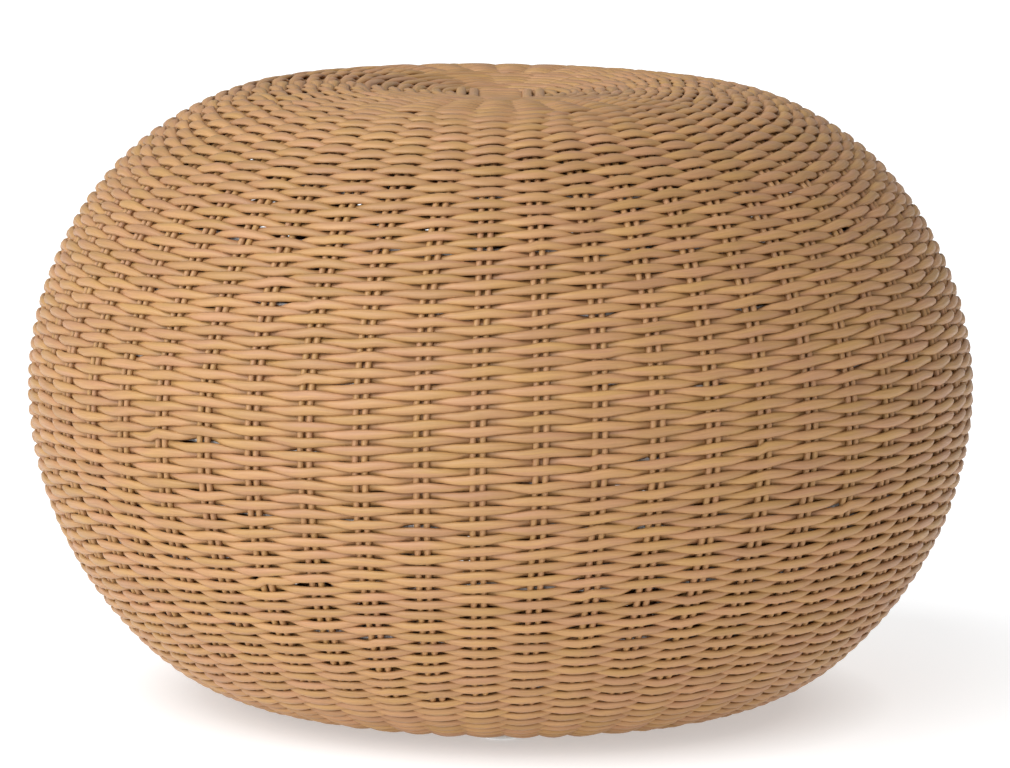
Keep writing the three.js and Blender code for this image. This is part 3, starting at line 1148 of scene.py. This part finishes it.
class OTTOMAN_OT_hoops(bpy.types.Operator):
    """Bend the round hoops that carry the weave, each a little outside its solid."""

    bl_idname = "ottoman.hoops"
    bl_label = "Frame hoops"

    def execute(self, context):
        for number, place in enumerate(HOOP_PLACES, start=1):
            radius, height = OUTLINE.place(place, HOOP_DEPTH)
            deselect()
            bpy.ops.mesh.primitive_torus_add(
                location=(0, 0, float(height) * MM),
                major_radius=float(radius) * MM * math.cos(math.pi / HOOP_FACETS),
                minor_radius=HOOP_RADIUS * MM,
                major_segments=HOOP_FACETS,
                minor_segments=HOOP_SIDES,
            )
            piece = context.object
            piece.name = f"round_hoop_{number}"
            bpy.ops.object.transform_apply(location=True, rotation=True, scale=True)
            bpy.ops.object.shade_smooth()
            piece.data.materials.append(material("coated_aluminium", coated_metal_material))
            settle(piece, "frame_metal", f"frame_hoop_{number}")
        return {"FINISHED"}


class OTTOMAN_OT_frame(bpy.types.Operator):
    """Coat the ribs, the plate and the ring, which keep their solids' shapes."""

    bl_idname = "ottoman.frame"
    bl_label = "Frame finish"

    def execute(self, context):
        coat = material("coated_aluminium", coated_metal_material)
        for name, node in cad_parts.items():
            if name.startswith("frame_") and not name.startswith("frame_hoop"):
                finish(node, coat)
        return {"FINISHED"}


class OTTOMAN_OT_feet(bpy.types.Operator):
    """Finish the plastic glides and the screws that hold them, which keep their solids' shapes."""

    bl_idname = "ottoman.feet"
    bl_label = "Glides and screws"

    def execute(self, context):
        milky = material("milky_plastic", milky_plastic_material)
        steel = material("plated_steel", plated_steel_material)
        for name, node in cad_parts.items():
            if name.startswith("glide_screw"):
                finish(node, steel)
            elif name.startswith("glide"):
                finish(node, milky)
        return {"FINISHED"}


class OTTOMAN_OT_stage(bpy.types.Operator):
    """Lay the floor, and set the soft lights and the camera."""

    bl_idname = "ottoman.stage"
    bl_label = "Stage"

    def execute(self, context):
        stage = context.scene.ottoman_stage
        context.scene.view_settings.view_transform = "Standard"
        deselect()
        bpy.ops.mesh.primitive_circle_add(
            vertices=FLOOR_CORNERS,
            radius=FLOOR_RADIUS,
            fill_type="NGON",
            location=(0, 0, 0),
        )
        floor = context.object
        floor.name = "pale_floor"
        floor.data.materials.append(material("pale_floor", floor_material))

        world = bpy.data.worlds.new("studio")
        world.use_nodes = True
        background = world.node_tree.nodes["Background"]
        background.inputs["Color"].default_value = SKY_COLOUR
        background.inputs["Strength"].default_value = stage.sky_strength
        context.scene.world = world

        deselect()
        bpy.ops.object.light_add(type="SUN", location=KEY_PLACE)
        key = context.object
        key.name = "broad_key"
        key.data.energy = stage.key_strength
        key.data.angle = stage.key_spread
        key.data.color = KEY_COLOUR
        key.rotation_euler = (-key.location).to_track_quat("-Z", "Y").to_euler()

        tilt = stage.camera_height_angle
        target = Vector((0, 0, AIM_HEIGHT))
        away = Vector((0, -math.cos(tilt), math.sin(tilt))) * stage.camera_distance
        deselect()
        bpy.ops.object.camera_add(location=target + away)
        camera = context.object
        camera.name = "photo_camera"
        turn = Matrix.Rotation(math.pi / 2 - tilt, 4, "X") @ Matrix.Rotation(stage.camera_roll, 4, "Z")
        camera.rotation_euler = turn.to_euler()
        camera.data.sensor_fit = "HORIZONTAL"
        camera.data.sensor_width = SENSOR_WIDTH
        camera.data.lens = LENS
        camera.data.shift_x, camera.data.shift_y = CAMERA_SHIFT
        camera.data.clip_end = SIGHT
        context.scene.camera = camera
        return {"FINISHED"}


class OTTOMAN_PT_panel(bpy.types.Panel):
    """Lists the steps that dress the ottoman."""

    bl_idname = "OTTOMAN_PT_panel"
    bl_label = "Woven Ottoman"
    bl_space_type = "VIEW_3D"
    bl_region_type = "UI"
    bl_category = "Ottoman"

    def draw(self, context):
        layout = self.layout
        for name, settings in SETTINGS:
            for choice in settings.__annotations__:
                layout.prop(getattr(context.scene, name), choice)
        for step in STEPS:
            layout.operator(step.bl_idname)


STEPS = (
    OTTOMAN_OT_stage,
    OTTOMAN_OT_rows,
    OTTOMAN_OT_rods,
    OTTOMAN_OT_hoops,
    OTTOMAN_OT_frame,
    OTTOMAN_OT_feet,
)
SETTINGS = (
    ("ottoman_weave", OttomanWeave),
    ("ottoman_frame", OttomanFrame),
    ("ottoman_feet", OttomanFeet),
    ("ottoman_stage", OttomanStage),
)


def register():
    for name, settings in SETTINGS:
        bpy.utils.register_class(settings)
        setattr(bpy.types.Scene, name, bpy.props.PointerProperty(type=settings))
    for step in STEPS:
        bpy.utils.register_class(step)
    bpy.utils.register_class(OTTOMAN_PT_panel)


def unregister():
    bpy.utils.unregister_class(OTTOMAN_PT_panel)
    for step in reversed(STEPS):
        bpy.utils.unregister_class(step)
    for name, settings in reversed(SETTINGS):
        delattr(bpy.types.Scene, name)
        bpy.utils.unregister_class(settings)


def main():
    """Dresses the frame and stage."""
    register()
    bpy.ops.ottoman.stage()
    bpy.ops.ottoman.rows()
    bpy.ops.ottoman.rods()
    bpy.ops.ottoman.hoops()
    bpy.ops.ottoman.frame()
    bpy.ops.ottoman.feet()


if __name__ == "__main__":
    main()
